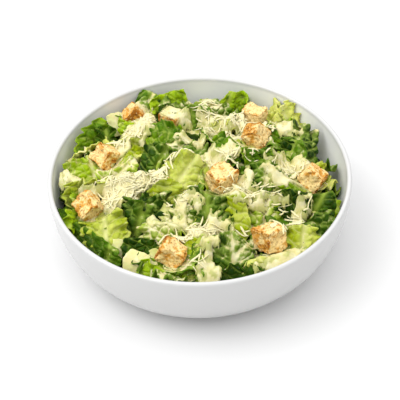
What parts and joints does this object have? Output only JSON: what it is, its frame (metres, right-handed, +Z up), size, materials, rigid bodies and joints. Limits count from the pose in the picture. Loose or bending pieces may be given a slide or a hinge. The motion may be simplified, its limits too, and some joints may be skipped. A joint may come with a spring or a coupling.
{
  "type": "caesar salad",
  "caption": "Round white bowl filled with chopped green salad leaves in creamy dressing, topped with toasted bread cubes and shredded hard cheese",
  "frame": {"origin": "centre of the bowl's foot, at table height", "axes": "+Z up through the middle of the bowl; -Y is the side the viewer sees nearest, +X to the viewer's right"},
  "size_m": [0.24, 0.24, 0.0851],
  "materials": {
    "white_glaze": "smooth white glazed stoneware, soft gloss",
    "dressed_leaves": "dark to yellow-green chopped lettuce, wet with pale creamy dressing",
    "toasted_bread": "dry porous bread crumb with golden-brown toasted edges"
  },
  "bodies": {
    "root": {"bowl": "white_glaze", "salad_heap": "dressed_leaves", "crouton_01": "toasted_bread", "crouton_02": "toasted_bread", "crouton_03": "toasted_bread", "crouton_04": "toasted_bread", "crouton_05": "toasted_bread", "crouton_06": "toasted_bread", "crouton_07": "toasted_bread", "crouton_08": "toasted_bread", "crouton_09": "toasted_bread", "crouton_10": "toasted_bread"}
  },
  "joints": []
}
